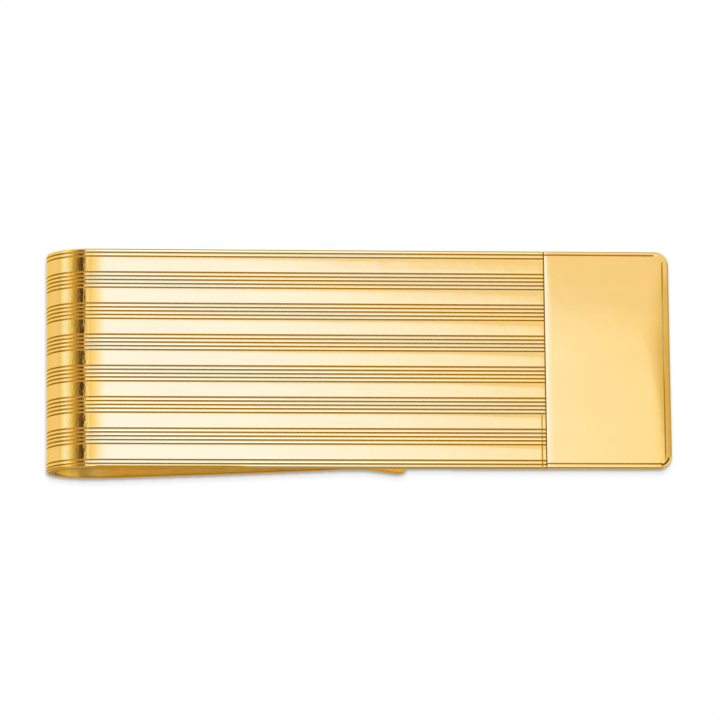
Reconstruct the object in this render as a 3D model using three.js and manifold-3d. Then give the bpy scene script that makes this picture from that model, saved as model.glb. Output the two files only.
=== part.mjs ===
// Spring money clip: one wide strip of gold-plated brass folded into a long
// front leaf and a shorter, bowed back leaf that pinches up against it.
//
// Millimetres, +Z up. +X runs along the clip from the folded end to the open
// end, +Y across its width. The clip lies as it does on a table, on the bottom
// of the fold and on the edge of the flared lip, so the front leaf slopes
// down by REST_TILT towards its free end. The origin is the bottom centre of
// the whole clip's box.
//
// The strip is first laid out in its own frame (x from the folded end, z = 0
// on the front leaf's outer face), then turned by REST_TILT and set on z = 0.
//
// The fold works as a spring. It is divided into four short lengths of strip,
// with five hinge lines between leaf, lengths and leaf. Each hinge line lies on
// the outer face, so the lengths part on the inside when the clip opens.

import * as THREE from "three";
import { mergeVertices } from "three/addons/utils/BufferGeometryUtils.js";
import Module from "manifold-3d";

const rad = THREE.MathUtils.degToRad;

// ---- strip -----------------------------------------------------------------
const WIDTH = 18; // across the clip
const THICK = 0.7; // strip thickness
const LENGTH = 51.05; // folded end to free end, along the front leaf
const END_CORNER_R = 1.1; // corners of the front leaf's free end, in plan
const TIP_CORNER_R = 0.7; // corners of the lip, in plan
const CORNER_STEPS = 6; // facets per corner

// ---- side profile, followed along the outer face ---------------------------
const FOLD_R = 3.5; // outer radius of the half-round fold
const FOLD_SEGMENTS = 4; // lengths of strip the fold is divided into
const FOLD_STEPS = 4; // facets per length
const SEGMENT_GAP = 0.02; // clearance between neighbouring lengths of strip
const HEEL_R = 11.5; // easy curve that leads out of the fold
const HEEL_TURN = rad(13.7);
const HEEL_STEPS = 4;
const BELLY_LENGTH = 18.75; // long, nearly straight run of the back leaf
const BELLY_TURN = rad(4.2); // how far the belly bows
const BELLY_STEPS = 4;
const PINCH_R = 2.4; // hollow side of the crest that pinches the notes
const PINCH_STEPS = 6;
const LIP_SLOPE = rad(41.3); // how steeply the lip falls away
const LIP_LENGTH = 3.46; // straight part of the lip
const REST_TILT = rad(6.07); // front leaf to table

// Headings in the XZ plane, as angles from +X towards +Z.
const TOWARDS_FOLD = Math.PI; // along the front leaf
const AWAY_FROM_FOLD = 2 * Math.PI; // after the half turn of the fold

// ---- rolled lines along the strip ------------------------------------------
const LINE_GROUPS = 6; // with plain bands between
const GROUP_PITCH = WIDTH / (LINE_GROUPS + 1);
const LINES_IN_GROUP = 5;
const LINE_PITCH = 0.3143; // between lines in one group
const EDGE_LINES = 2; // lines near each long edge
const LINE_WIDTH = 0.16;
const LINE_DEPTH = 0.08;

// ---- engraving plate -------------------------------------------------------
const SEAM_X = 40.67; // where the lines stop and the plain plate starts
const PLATE_THICK = 0.33;
const PLATE_PROUD = 0.02; // stands above the lines' face
const SOLDER_GAP = 0.03; // under the plate and at the seam
const BORDER_Y = WIDTH / 2 - LINE_PITCH; // scribed lines by the long edges
const BORDER_X = 50.52; // scribed line by the free end
const BORDER_OVERRUN = 0.3; // side lines run this far past the corners' start

// ---- cutting allowances ----------------------------------------------------
const CUT_MARGIN = 1; // how far cutters reach past the metal
const SCRIBE_RISE = 0.1; // how far the V cutter stands above the face
const BACK_TRIM = { bottom: -12, top: 2 }; // z range clear of the back leaf

const wasm = await Module();
wasm.setup();

// ---- mesh solids for cutting -----------------------------------------------
function toSolid(geometry) {
  const bare = geometry.clone();
  for (const name of Object.keys(bare.attributes)) {
    if (name !== "position") bare.deleteAttribute(name);
  }
  const merged = mergeVertices(bare, 1e-5);
  return new wasm.Manifold(
    new wasm.Mesh({
      numProp: 3,
      vertProperties: new Float32Array(merged.attributes.position.array),
      triVerts: new Uint32Array(merged.index.array),
    }),
  );
}

function toGeometry(solid) {
  const mesh = solid.getMesh();
  const geometry = new THREE.BufferGeometry();
  geometry.setAttribute(
    "position",
    new THREE.BufferAttribute(new Float32Array(mesh.vertProperties), 3),
  );
  geometry.setIndex(new THREE.BufferAttribute(new Uint32Array(mesh.triVerts), 1));
  const faceted = geometry.toNonIndexed();
  faceted.computeVertexNormals();
  return faceted;
}

// ---- cross-section of the strip --------------------------------------------
// Positions of the rolled lines across the width, from +Y to -Y.
function linePositions() {
  const positions = [];
  for (let group = 0; group < LINE_GROUPS; group += 1) {
    const groupY = (group - (LINE_GROUPS - 1) / 2) * GROUP_PITCH;
    for (let line = 0; line < LINES_IN_GROUP; line += 1) {
      positions.push(groupY + (line - (LINES_IN_GROUP - 1) / 2) * LINE_PITCH);
    }
  }
  for (let line = 1; line <= EDGE_LINES; line += 1) {
    const y = WIDTH / 2 - line * LINE_PITCH;
    positions.push(y, -y);
  }
  return positions.sort((a, b) => b - a);
}

// Shape x is across the width, shape y is outward from the fold; the outer
// face is at y = 0 and carries a V at each rolled line.
function stripSection() {
  const points = [
    new THREE.Vector2(-WIDTH / 2, -THICK),
    new THREE.Vector2(WIDTH / 2, -THICK),
    new THREE.Vector2(WIDTH / 2, 0),
  ];
  for (const y of linePositions()) {
    points.push(
      new THREE.Vector2(y + LINE_WIDTH / 2, 0),
      new THREE.Vector2(y, -LINE_DEPTH),
      new THREE.Vector2(y - LINE_WIDTH / 2, 0),
    );
  }
  points.push(new THREE.Vector2(-WIDTH / 2, 0));
  return new THREE.Shape(points);
}

// ---- side profile ----------------------------------------------------------
// Arcs and straights in the XZ plane, walked along the outer face. Each run is
// { length, turn, steps }. stops[] holds every place where the swept strip gets
// a cross-section; the curve is read only at those stops, so that the sweep
// doesn't respace them.
class Profile extends THREE.Curve {
  constructor(start, runs) {
    super();
    this.stops = [start];
    for (const { length, turn, steps } of runs) {
      const bend = turn / steps;
      const arc = length / steps;
      const chord = bend === 0 ? arc : (2 * arc * Math.sin(bend / 2)) / bend;
      for (let i = 0; i < steps; i += 1) {
        const from = this.end;
        const along = from.heading + bend / 2;
        this.stops.push({
          x: from.x + chord * Math.cos(along),
          z: from.z + chord * Math.sin(along),
          heading: from.heading + bend,
        });
      }
    }
  }

  get end() {
    return this.stops[this.stops.length - 1];
  }

  get steps() {
    return this.stops.length - 1;
  }

  stopAt(fraction) {
    return this.stops[Math.round(fraction * this.steps)];
  }

  getPointAt(fraction, target = new THREE.Vector3()) {
    const { x, z } = this.stopAt(fraction);
    return target.set(x, 0, z);
  }

  getTangentAt(fraction, target = new THREE.Vector3()) {
    const { heading } = this.stopAt(fraction);
    return target.set(Math.cos(heading), 0, Math.sin(heading));
  }
}

// The strip swept along a profile: closed, with flat ends.
function sweptStrip(profile) {
  return new THREE.ExtrudeGeometry(stripSection(), {
    steps: profile.steps,
    bevelEnabled: false,
    extrudePath: profile,
  });
}

// ---- cutting solids --------------------------------------------------------
// A full-width block from x = x0 to x1, its two corners at the +X end rounded.
function planBlock({ x0 = 0, x1, radius, bottom, top }) {
  const halfWidth = WIDTH / 2;
  const cornerX = x1 - radius;
  const cornerY = halfWidth - radius;
  const outline = new THREE.Shape();
  outline.moveTo(x0, -halfWidth);
  outline.lineTo(cornerX, -halfWidth);
  outline.absarc(cornerX, -cornerY, radius, -Math.PI / 2, 0, false);
  outline.lineTo(x1, cornerY);
  outline.absarc(cornerX, cornerY, radius, 0, Math.PI / 2, false);
  outline.lineTo(x0, halfWidth);
  outline.closePath();
  const block = new THREE.ExtrudeGeometry(outline, {
    depth: top - bottom,
    bevelEnabled: false,
    curveSegments: CORNER_STEPS,
  });
  return toSolid(block.translate(0, 0, bottom));
}

// Clears the front leaf from the seam to past its free end, above floor.
function plateRecess(floor) {
  const x1 = LENGTH + CUT_MARGIN;
  const top = CUT_MARGIN;
  return toSolid(
    new THREE.BoxGeometry(x1 - SEAM_X, 2 * WIDTH, top - floor).translate(
      (SEAM_X + x1) / 2,
      0,
      (floor + top) / 2,
    ),
  );
}

// V cutter of the scribed border, its mouth on z = 0, running from the origin
// along -Y.
function scribe(length) {
  const halfMouth = (LINE_WIDTH / 2) * (1 + SCRIBE_RISE / LINE_DEPTH);
  const section = new THREE.Shape([
    new THREE.Vector2(-halfMouth, SCRIBE_RISE),
    new THREE.Vector2(0, -LINE_DEPTH),
    new THREE.Vector2(halfMouth, SCRIBE_RISE),
  ]);
  return new THREE.ExtrudeGeometry(section, {
    depth: length,
    bevelEnabled: false,
  }).rotateX(Math.PI / 2);
}

// ---- pieces ----------------------------------------------------------------
// Flat, lined over its face up to the seam, then thinned to carry the plate.
function frontLeaf() {
  const run = new Profile({ x: LENGTH, z: 0, heading: TOWARDS_FOLD }, [
    { length: LENGTH - FOLD_R - SEGMENT_GAP / 2, turn: 0, steps: 1 },
  ]);
  const outline = planBlock({
    x1: LENGTH,
    radius: END_CORNER_R,
    bottom: -THICK - CUT_MARGIN,
    top: CUT_MARGIN,
  });
  const recess = plateRecess(PLATE_PROUD - PLATE_THICK - SOLDER_GAP);
  return toGeometry(toSolid(sweptStrip(run)).intersect(outline).subtract(recess));
}

// Plain, let into the thinned end, with a scribed border on three sides.
function engravingPlate() {
  const x0 = SEAM_X + SOLDER_GAP;
  const top = PLATE_PROUD;
  let plate = planBlock({
    x0,
    x1: LENGTH,
    radius: END_CORNER_R,
    bottom: top - PLATE_THICK,
    top,
  });

  const sideStart = x0 - CUT_MARGIN;
  const sideEnd = LENGTH - END_CORNER_R + BORDER_OVERRUN;
  for (const y of [-BORDER_Y, BORDER_Y]) {
    const sideLine = scribe(sideEnd - sideStart).rotateZ(Math.PI / 2);
    plate = plate.subtract(toSolid(sideLine.translate(sideStart, y, top)));
  }

  const reach = WIDTH / 2 - END_CORNER_R;
  const endLine = scribe(2 * reach).translate(BORDER_X, reach, top);
  return toGeometry(plate.subtract(toSolid(endLine)));
}

// One length of the half-round fold. Length 0 is next to the front leaf.
function foldLength(index) {
  const span = Math.PI / FOLD_SEGMENTS;
  const halfGap = SEGMENT_GAP / 2 / FOLD_R;
  const angle = index * span + halfGap;
  const turn = span - 2 * halfGap;
  const start = {
    x: FOLD_R - FOLD_R * Math.sin(angle),
    z: -FOLD_R + FOLD_R * Math.cos(angle),
    heading: TOWARDS_FOLD + angle,
  };
  return sweptStrip(
    new Profile(start, [{ length: turn * FOLD_R, turn, steps: FOLD_STEPS }]),
  );
}

// Out of the fold over the heel, along the bowed belly, over the pinching
// crest and down the flared lip.
function backLeaf() {
  const crestTurn = HEEL_TURN + BELLY_TURN + LIP_SLOPE;
  const start = {
    x: FOLD_R + SEGMENT_GAP / 2,
    z: -2 * FOLD_R,
    heading: AWAY_FROM_FOLD,
  };
  const run = new Profile(start, [
    { length: HEEL_R * HEEL_TURN, turn: HEEL_TURN, steps: HEEL_STEPS },
    { length: BELLY_LENGTH, turn: BELLY_TURN, steps: BELLY_STEPS },
    { length: PINCH_R * crestTurn, turn: -crestTurn, steps: PINCH_STEPS },
    { length: LIP_LENGTH, turn: 0, steps: 1 },
  ]);
  // The lip's inner edge reaches furthest along +X.
  const outline = planBlock({
    x1: run.end.x + THICK * Math.sin(LIP_SLOPE),
    radius: TIP_CORNER_R,
    ...BACK_TRIM,
  });
  return toGeometry(toSolid(sweptStrip(run)).intersect(outline));
}

// ---- assembly --------------------------------------------------------------
const strip = new THREE.Group();
strip.rotation.y = REST_TILT;

// Adds a piece in polished gold plate.
function add(name, geometry, { color, roughness }) {
  const gold = new THREE.MeshStandardMaterial({ color, roughness, metalness: 1 });
  const mesh = new THREE.Mesh(geometry, gold);
  mesh.name = name;
  strip.add(mesh);
}

// The plate is the palest and smoothest, the back leaf the deepest in colour.
add("front_leaf", frontLeaf(), { color: 0xf0cf84, roughness: 0.22 });
add("engraving_plate", engravingPlate(), { color: 0xf6d48c, roughness: 0.12 });
add("fold_shoulder", foldLength(0), { color: 0xe8c06a, roughness: 0.24 });
add("fold_crown_upper", foldLength(1), { color: 0xe6bc64, roughness: 0.24 });
add("fold_crown_lower", foldLength(2), { color: 0xe6bc64, roughness: 0.24 });
add("fold_heel", foldLength(3), { color: 0xe4b95f, roughness: 0.24 });
add("back_leaf", backLeaf(), { color: 0xd9a84c, roughness: 0.3 });

const clip = new THREE.Group();
clip.add(strip);
clip.updateMatrixWorld(true);

// Set the clip down on z = 0 with its box centred over the origin.
const bounds = new THREE.Box3().setFromObject(clip, true);
strip.position.set(-(bounds.min.x + bounds.max.x) / 2, 0, -bounds.min.z);
clip.updateMatrixWorld(true);

export default clip;
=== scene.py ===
import math

import bpy
import numpy as np
from mathutils import Matrix


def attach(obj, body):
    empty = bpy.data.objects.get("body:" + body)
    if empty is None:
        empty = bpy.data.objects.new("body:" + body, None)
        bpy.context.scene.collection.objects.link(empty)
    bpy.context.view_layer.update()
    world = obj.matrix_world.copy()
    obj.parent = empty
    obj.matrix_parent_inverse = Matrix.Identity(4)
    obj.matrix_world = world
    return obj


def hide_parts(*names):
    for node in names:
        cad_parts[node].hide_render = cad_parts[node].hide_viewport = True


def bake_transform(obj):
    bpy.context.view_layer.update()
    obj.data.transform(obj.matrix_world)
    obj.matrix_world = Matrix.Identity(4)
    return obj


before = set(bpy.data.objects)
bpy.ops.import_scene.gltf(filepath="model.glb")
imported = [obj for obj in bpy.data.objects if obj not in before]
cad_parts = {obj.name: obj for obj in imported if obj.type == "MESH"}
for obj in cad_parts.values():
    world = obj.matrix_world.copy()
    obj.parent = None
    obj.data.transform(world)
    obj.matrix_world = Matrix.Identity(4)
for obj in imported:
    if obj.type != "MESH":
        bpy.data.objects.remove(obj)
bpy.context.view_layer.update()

# ---------------------------------------------------------------- dimensions
# Millimetres in the strip's own frame: x from the folded end, z = 0 on the front
# leaf's outer face, y across the strip. A place along the strip is s, the distance
# over the outer face from the front leaf's free end.
WIDTH = 18.0
HALF_WIDTH = WIDTH / 2
THICK = 0.7
LENGTH = 51.05
END_R = 1.1  # corners of the front leaf's free end
TIP_R = 0.7  # corners of the lip
EDGE_R = 0.13  # rounding of the strip's long edges on the outer face
INNER_R = 0.10  # and on the inner face
BAND = WIDTH / 7  # from one plain band to the next
PITCH = 0.3143  # between neighbouring rolled lines
SEAM_X = 40.67  # where the plate meets the lined face
MARK_X = SEAM_X - 0.33  # short scribed mark beside the seam
MARK_HALF = 0.05

# the strip's frame, turned about Y and set down on the table
TILT = math.radians(6.07)
OFFSET = np.array([-25.195461883738705, 0.0, 7.395693317945871])
TURN = np.array(
    [
        [math.cos(TILT), 0, math.sin(TILT)],
        [0, 1, 0],
        [-math.sin(TILT), 0, math.cos(TILT)],
    ]
)


def to_row(p):
    """Strip-frame millimetres to the row frame in metres."""
    return (np.asarray(p, float) @ TURN.T + OFFSET) * 0.001


def smooth(low, high, x):
    """Smooth step from 0 at low to 1 at high."""
    t = np.clip((x - low) / (high - low), 0, 1)
    return t * t * (3 - 2 * t)


def rounding(distance, radius):
    """Drop of a quarter-round edge at a distance in from it."""
    d = np.clip(distance, 0, radius)
    return radius - np.sqrt(np.clip(radius**2 - (radius - d) ** 2, 0, None))


def corner_half_width(distance, radius):
    """Half width of the strip at a distance from an end with rounded corners."""
    return HALF_WIDTH - rounding(distance, radius)


def spaced(a, b, step):
    """Even places from a to b, about a step apart."""
    n = max(1, int(round(abs(b - a) / step)))
    return list(np.linspace(a, b, n + 1))


def thinned(values, gap=1e-5):
    """Sorted values, each more than a gap above the last."""
    out = []
    for v in sorted(values):
        if not out or v - out[-1] > gap:
            out.append(v)
    return out


# ---------------------------------------------------------------- side profile
FOLD_DROP = 7.0  # height taken up by the easing and the fold's arc
CREASE = math.radians(4.0)  # the leaf eases into the fold over EASE mm
EASE = 1.9
HEEL_R, HEEL_TURN = 11.5, math.radians(13.7)
BELLY_LENGTH, BELLY_TURN = 18.75, math.radians(4.2)
PINCH_R, PINCH_TURN = 2.4, math.radians(59.2)
LIP_LENGTH = 3.46
PROFILE_STEP = 0.002
SOFTENING = 0.22  # spread of the curvature's blur past the fold


def side_profile():
    """Outer face from the free end round the fold to the lip: s, x, z, heading."""
    drop = EASE * CREASE / 3
    r = (FOLD_DROP - drop) / (1 + math.cos(CREASE))
    x_arc = r * (1 - math.sin(CREASE))
    x_ease = x_arc + EASE * (1 - CREASE**2 / 10)
    belly_bend = BELLY_TURN / BELLY_LENGTH
    runs = [  # name, length, curvature at its start and at its end
        ("leaf", LENGTH - x_ease, 0, 0),
        ("ease", EASE, 0, 2 * CREASE / EASE),
        ("fold", r * (math.pi - CREASE), 1 / r, 1 / r),
        ("heel", HEEL_R * HEEL_TURN, 1 / HEEL_R, 1 / HEEL_R),
        ("belly", BELLY_LENGTH, belly_bend, belly_bend),
        ("pinch", PINCH_R * PINCH_TURN, -1 / PINCH_R, -1 / PINCH_R),
        ("lip", LIP_LENGTH, 0, 0),
    ]
    starts, total = {}, 0.0
    for name, length, _, _ in runs:
        starts[name] = total
        total += length
    starts["end"] = total
    s = np.linspace(0, total, int(total / PROFILE_STEP) + 1)
    curve = np.zeros(len(s))
    for name, length, a, b in runs:
        m = (s >= starts[name]) & (s < starts[name] + length)
        curve[m] = a + (b - a) * (s[m] - starts[name]) / length
    step = s[1] - s[0]
    sigma = SOFTENING / step
    reach = int(4 * sigma)
    bell = np.exp(-0.5 * (np.arange(-reach, reach + 1) / sigma) ** 2)
    padded = np.pad(curve, reach, mode="edge")
    soft = np.convolve(padded, bell / bell.sum(), mode="valid")
    # only the heel and what follows it are softened
    share = smooth(starts["heel"] - 1.2, starts["heel"] - 0.6, s)
    curve = curve * (1 - share) + soft * share

    def summed(values):
        return np.concatenate([[0], np.cumsum((values[1:] + values[:-1]) / 2 * step)])

    heading = math.pi + summed(curve)
    return s, LENGTH + summed(np.cos(heading)), summed(np.sin(heading)), heading, starts


PROFILE_S, PROFILE_X, PROFILE_Z, PROFILE_HEADING, RUN_START = side_profile()
END_S = RUN_START["end"]


def at(s):
    """x, z and heading of the outer face at s."""
    return [np.interp(s, PROFILE_S, v) for v in (PROFILE_X, PROFILE_Z, PROFILE_HEADING)]


def s_of_x(x):
    """Distance along the strip of a place on the front leaf."""
    return LENGTH - x


def s_of_heading(degrees):
    """Where the strip has turned by an angle from the front leaf's direction."""
    i = int(np.argmax(PROFILE_HEADING >= math.pi + math.radians(degrees)))
    return float(PROFILE_S[i])


# ---------------------------------------------------------------- cross-section
LINE_DEPTH = 0.06
LINE_HALF = 0.074
RIDGE_TILT = math.radians(3.2)  # the narrow ridges are rounded over
BAND_TILT = math.radians(1.3)  # the plain bands roll down to the lines
BAND_ROLL = 0.42
TOP_TILT = math.radians(2.1)  # and more on their far side, next to the seam
TOP_ROLL = 0.58
BEYOND_EDGE = 0.05  # the outermost ridges end this far past the strip's edge


def line_positions():
    """Groups of five lines between the bands, and a pair along each edge."""
    ys = []
    for g in (-2.5, -1.5, -0.5, 0.5, 1.5, 2.5):
        ys += [g * BAND + k * PITCH for k in (-2, -1, 0, 1, 2)]
    for k in (1, 2):
        ys += [HALF_WIDTH - k * PITCH, -HALF_WIDTH + k * PITCH]
    return np.array(sorted(ys))


LINES = line_positions()


def line_shape(d, half=LINE_HALF):
    """Depth of one rolled line at a distance d from its centre."""
    a = np.clip(np.abs(d) / half, 0, 1)
    return LINE_DEPTH * (1 - a**2.6) ** 1.2


def neighbours(y):
    """The lines on the near and far side of y."""
    k = int(np.searchsorted(LINES, y))
    lo = LINES[k - 1] if k > 0 else -HALF_WIDTH - BEYOND_EDGE
    hi = LINES[k] if k < len(LINES) else HALF_WIDTH + BEYOND_EDGE
    return lo, hi


def band_side(y, lo, hi):
    """How strongly a band rolls down: more on its far side, less so on far bands."""
    if hi - y >= y - lo:
        return 0.4
    return 1.0 - 0.5 * smooth(0.5, 6.5, y)


def lined_depth(y):
    """Depth below the face's plane: lines, rounded ridges and rolled bands."""
    lo, hi = neighbours(y)
    to_line = min(y - lo, hi - y)
    d = to_line - LINE_HALF  # from the nearest line's edge
    if hi - lo < 2 * PITCH:
        r = (hi - lo) / 2 - LINE_HALF
        depth = math.tan(RIDGE_TILT) * (r - max(d, 0.0)) ** 2 / (2 * r)
    else:
        full = band_side(y, lo, hi) * math.tan(BAND_TILT) * BAND_ROLL / 3
        depth = full * max(0.0, 1 - max(d, 0.0) / BAND_ROLL) ** 3
    return depth + float(line_shape(to_line)) if d <= 0 else depth


def far_side_roll(y):
    """Extra depth at full strength on the far side of each plain band."""
    lo, hi = neighbours(y)
    if hi - lo < 2 * PITCH:
        return 0.0
    d = max(hi - y - LINE_HALF, 0.0)
    return math.tan(TOP_TILT) * TOP_ROLL / 2.5 * max(0.0, 1 - d / TOP_ROLL) ** 2.5


def face_samples():
    """Where the outer face is sampled across the width."""
    edge = HALF_WIDTH - EDGE_R
    # distances from a line's centre, and from its edge into a plain band
    near = (0, 0.02, 0.036, 0.048, 0.058, 0.066, 0.0735, 0.079, 0.092, 0.11, 0.132)
    roll = (0.03, 0.07, 0.12, 0.17, 0.23, 0.29, 0.35, 0.42, 0.5, 0.56)
    ys = [c + side * d for c in LINES for d in near for side in (1, -1)]
    for a, b in zip(LINES[:-1], LINES[1:]):
        ys.append((a + b) / 2)
        if b - a > 2 * PITCH:
            for d in roll:
                ys += [a + LINE_HALF + d, b - LINE_HALF - d]
    inside = {round(y, 5) for y in ys if abs(round(y, 5)) < edge - 0.004}
    return [-edge, *thinned(inside, gap=0.004), edge]


OUTER, EDGE, INNER = 0, 1, 2  # the faces of the strip, and their material slots


def ring():
    """The closed cross-section: y, depth below the outer face, and which face."""
    points = [(y, 0.0, OUTER) for y in face_samples()]
    side = []
    for t in (18, 36, 54, 72, 90):
        a = math.radians(t)
        y = HALF_WIDTH - EDGE_R + EDGE_R * math.sin(a)
        side.append((y, EDGE_R * (1 - math.cos(a)), EDGE))
    side.append((HALF_WIDTH, THICK * 0.5, EDGE))
    for t in (0, 30, 60, 90):
        a = math.radians(t)
        y = HALF_WIDTH - INNER_R + INNER_R * math.cos(a)
        side.append((y, THICK - INNER_R + INNER_R * math.sin(a), EDGE))
    points += side
    for y in np.linspace(HALF_WIDTH - INNER_R, -HALF_WIDTH + INNER_R, 15)[1:-1]:
        points.append((y, THICK, INNER))
    return points + [(-y, depth, face) for y, depth, face in reversed(side)]


RING_Y, RING_DEPTH, RING_FACE = (np.array(v) for v in zip(*ring()))
ON_OUTER = RING_FACE == OUTER
LINED = np.array([lined_depth(y) for y in RING_Y]) * ON_OUTER
FAR_ROLL = np.array([far_side_roll(y) for y in RING_Y]) * ON_OUTER
SEAM_SHARE = (0.5 + 0.9 * FAR_ROLL / FAR_ROLL.max()) * ON_OUTER
GROOVE = np.where(ON_OUTER, np.clip(LINED / LINE_DEPTH, 0, 1), 0.0)
SEAM_ROLL = 0.55  # the lined face rolls down this far before the seam
SEAM_TILT = math.radians(1.7)
SEAM_LIP = 0.03  # width and depth of the sharper drop at the seam
PLATE_THICK = 0.33
PLATE_TOP = 0.02  # the plate stands this proud of the lined face
TONGUE_DEPTH = PLATE_THICK + 0.012 - PLATE_TOP


def face_materials():
    """Material slot of the faces between each ring point and the next."""
    out = []
    for j in range(len(RING_Y)):
        k = (j + 1) % len(RING_Y)
        if INNER in (RING_FACE[j], RING_FACE[k]):
            out.append(INNER)
        elif max(RING_DEPTH[j], RING_DEPTH[k]) <= EDGE_R + 1e-6:
            out.append(OUTER)
        else:
            out.append(EDGE)
    return out


FACE_MATERIAL = face_materials()


def ring_dull_and_shade(s):
    """Dullness and painted shade of the lines and of the rims."""
    upper = RING_DEPTH < EDGE_R - 1e-4
    near_rim = (RING_Y < -HALF_WIDTH + EDGE_R + 1e-4) & upper
    far_rim = (RING_Y > HALF_WIDTH - EDGE_R + 1e-4) & upper
    # the near rim is dullest, with its darkest painted shade, towards the fold and round it
    most = smooth(34.0, 36.5, s) * (1 - smooth(46.8, 47.6, s)) + smooth(49.0, 50.0, s)
    groove = np.maximum(GROOVE, near_rim * np.where(RING_DEPTH < 0.02, most, 0.45))
    # the far rim takes a lighter painted shade
    return np.maximum(groove, 0.33 * far_rim)


def place_ring(s, y, depth, groove):
    """Row-frame points of a cross-section at s, and their (s, y, groove) values."""
    x, z, heading = at(s)
    out_x, out_z = math.sin(heading), -math.cos(heading)
    points = np.stack([x - out_x * depth, y, z - out_z * depth], axis=1)
    return to_row(points), np.stack([np.full(len(y), s), y, groove], axis=1)


def tongue_ring(s):
    """The plain tongue under the plate, thinned from the outer face."""
    depth = np.where(ON_OUTER, TONGUE_DEPTH, RING_DEPTH)
    upper_edge = (RING_FACE == EDGE) & (depth < THICK * 0.5)
    depth = np.where(upper_edge, TONGUE_DEPTH + depth * 0.12, depth)
    cut = rounding(s, 0.06)
    y = RING_Y * (corner_half_width(s, END_R) - cut) / HALF_WIDTH
    depth = np.clip(depth, TONGUE_DEPTH + cut, THICK - cut)
    return place_ring(s, y, depth, ring_dull_and_shade(s))


def strip_ring(s):
    """The lined strip, from the seam round to the lip."""
    x = LENGTH - s
    y = RING_Y
    depth = RING_DEPTH + LINED + FAR_ROLL * smooth(29.5, SEAM_X + 1, x) ** 2
    groove = ring_dull_and_shade(s)
    if END_S - s < TIP_R:
        cut = rounding(END_S - s, 0.12)
        y = y * (corner_half_width(END_S - s, TIP_R) - cut) / HALF_WIDTH
        depth = cut + depth * (THICK - 2 * cut) / THICK
    # the scribed mark runs over the near quarter only
    d = abs(x - MARK_X)
    if d < MARK_HALF:
        shape = 1 - (d / MARK_HALF) ** 2
        share = 0.3 * (1 - smooth(-4.6, -4.2, y)) + 0.5 * (1 - smooth(-7.4, -6.6, y))
        share = share * ON_OUTER
        depth = depth + 0.04 * shape * share
        # the mark takes the lines' painted shade
        groove = np.maximum(groove, share * shape**0.5)
    gap = SEAM_X - x
    if gap < SEAM_ROLL:
        drop = math.tan(SEAM_TILT) * SEAM_ROLL / 2.5
        depth = depth + SEAM_SHARE * drop * (1 - max(gap, 0) / SEAM_ROLL) ** 2.5
    if gap < SEAM_LIP:
        close = ON_OUTER * (1 - gap / SEAM_LIP)
        # the last of the lined face at the seam is painted dark, as shade in the seam
        groove = np.maximum(groove, close)
        depth = depth + SEAM_LIP * close**2
    return place_ring(s, y, depth, groove)


# ---------------------------------------------------------------- node helpers
def rgba(color):
    return (*color, 1)


def toned(color, tone):
    return [c * t for c, t in zip(color, tone)]


class Graph:
    """Short calls for building a node tree."""

    def __init__(self, tree):
        self.nodes = tree.nodes
        self.links = tree.links

    def add(self, kind, **settings):
        node = self.nodes.new(kind)
        for key, value in settings.items():
            setattr(node, key, value)
        return node

    def feed(self, socket, value):
        if isinstance(value, bpy.types.NodeSocket):
            self.links.new(value, socket)
        else:
            socket.default_value = value

    def math(self, op, a, b=0.0, c=0.0, clamp=False):
        node = self.add("ShaderNodeMath", operation=op, use_clamp=clamp)
        for socket, value in zip(node.inputs, (a, b, c)):
            self.feed(socket, value)
        return node.outputs[0]

    def split(self, vector):
        node = self.add("ShaderNodeSeparateXYZ")
        self.links.new(vector, node.inputs[0])
        return node.outputs

    def ramp(self, factor, stops):
        node = self.add("ShaderNodeValToRGB")
        ramp = node.color_ramp
        ramp.interpolation = "LINEAR"
        while len(ramp.elements) > 1:
            ramp.elements.remove(ramp.elements[0])
        ramp.elements[0].position = stops[0][0]
        ramp.elements[0].color = rgba(stops[0][1])
        for position, color in stops[1:]:
            ramp.elements.new(position).color = rgba(color)
        self.feed(node.inputs[0], factor)
        return node.outputs[0]

    def mix(self, factor, a, b):
        node = self.add("ShaderNodeMix", data_type="RGBA")
        node.clamp_factor = True
        self.feed(node.inputs[0], factor)
        self.feed(node.inputs[6], a)
        self.feed(node.inputs[7], b)
        return node.outputs[2]

    def mix_shader(self, factor, a, b):
        node = self.add("ShaderNodeMixShader")
        for socket, source in zip(node.inputs, (factor, a, b)):
            self.links.new(source, socket)
        return node.outputs[0]

    def smooth(self, value, low, high):
        """Smooth step from 0 at low to 1 at high; low may be the larger."""
        node = self.add("ShaderNodeMapRange", interpolation_type="SMOOTHSTEP")
        for socket, v in zip(node.inputs, (value, low, high, 0.0, 1.0)):
            self.feed(socket, v)
        return node.outputs[0]


# ---------------------------------------------------------------- gold
# Colours are linear RGB; tints and tones multiply GOLD.
GOLD = (0.88, 0.55, 0.147)
EDGE_TINT = (0.957, 0.80, 0.45)  # specular tint at grazing angles
FLANK_GOLD = (0.90, 0.62, 0.08)  # sides of the rolled lines
# The line colours below are painted shade down in the rolled lines: lighter where the fold
# begins to turn, darker further round it, and darkest where the groove value passes 1.
LINE_GOLD = (0.62, 0.268, 0.004)  # bottom of the lines on the front leaf
FOLD_LINE_GOLD = (0.88, 0.46, 0.05)  # where the fold begins to turn
TURN_LINE_GOLD = (0.41, 0.19, 0.012)  # further round the fold
DARK_LINE_GOLD = (0.16, 0.06, 0.002)  # where the groove value passes 1
LINE_ROUGHNESS = 0.42  # added down in the lines
BUMP_DISTANCE = 0.00001


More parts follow.
